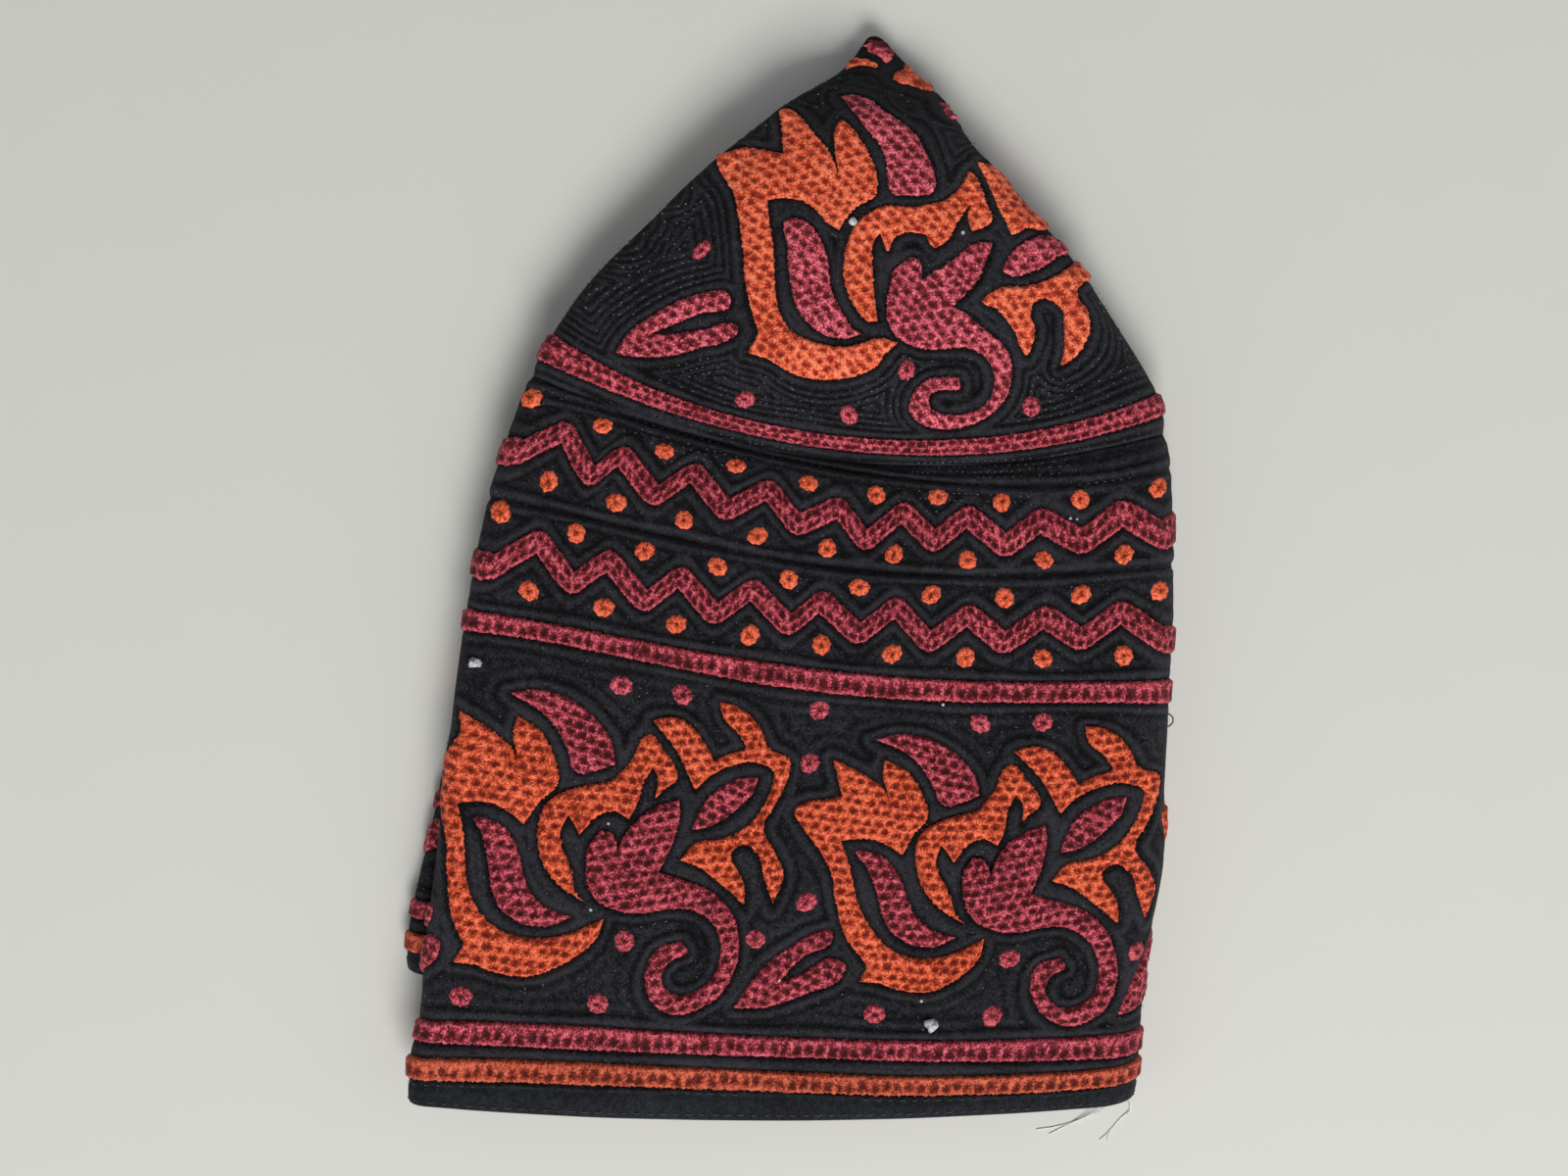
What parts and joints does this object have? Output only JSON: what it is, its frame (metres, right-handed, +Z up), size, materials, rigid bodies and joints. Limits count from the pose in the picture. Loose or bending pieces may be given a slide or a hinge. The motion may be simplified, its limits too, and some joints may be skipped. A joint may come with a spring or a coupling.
{
  "type": "prayer cap",
  "caption": "Tall brimless quilted cap with a domed crown, embroidered side band and plain hem, pressed flat, folded in half and lying on its back half.",
  "frame": {"origin": "middle of the folded cap's footprint, on the surface that it lies on", "axes": "+Z up, +Y from the rim to the crown's centre, +X to the closed round fold, -X to the two pressed folds"},
  "size_m": [0.1518, 0.212, 0.0227],
  "materials": {
    "quilted_cotton": "matt black quilted cotton",
    "hem_cotton": "matt black cotton tape",
    "orange_thread": "raised orange embroidery, slight sheen",
    "rose_thread": "raised rose red embroidery, slight sheen",
    "pale_thread": "loose pale thread and lint"
  },
  "bodies": {
    "root": {"crown": "quilted_cotton", "side_band": "quilted_cotton", "rim_binding": "hem_cotton"}
  },
  "joints": []
}
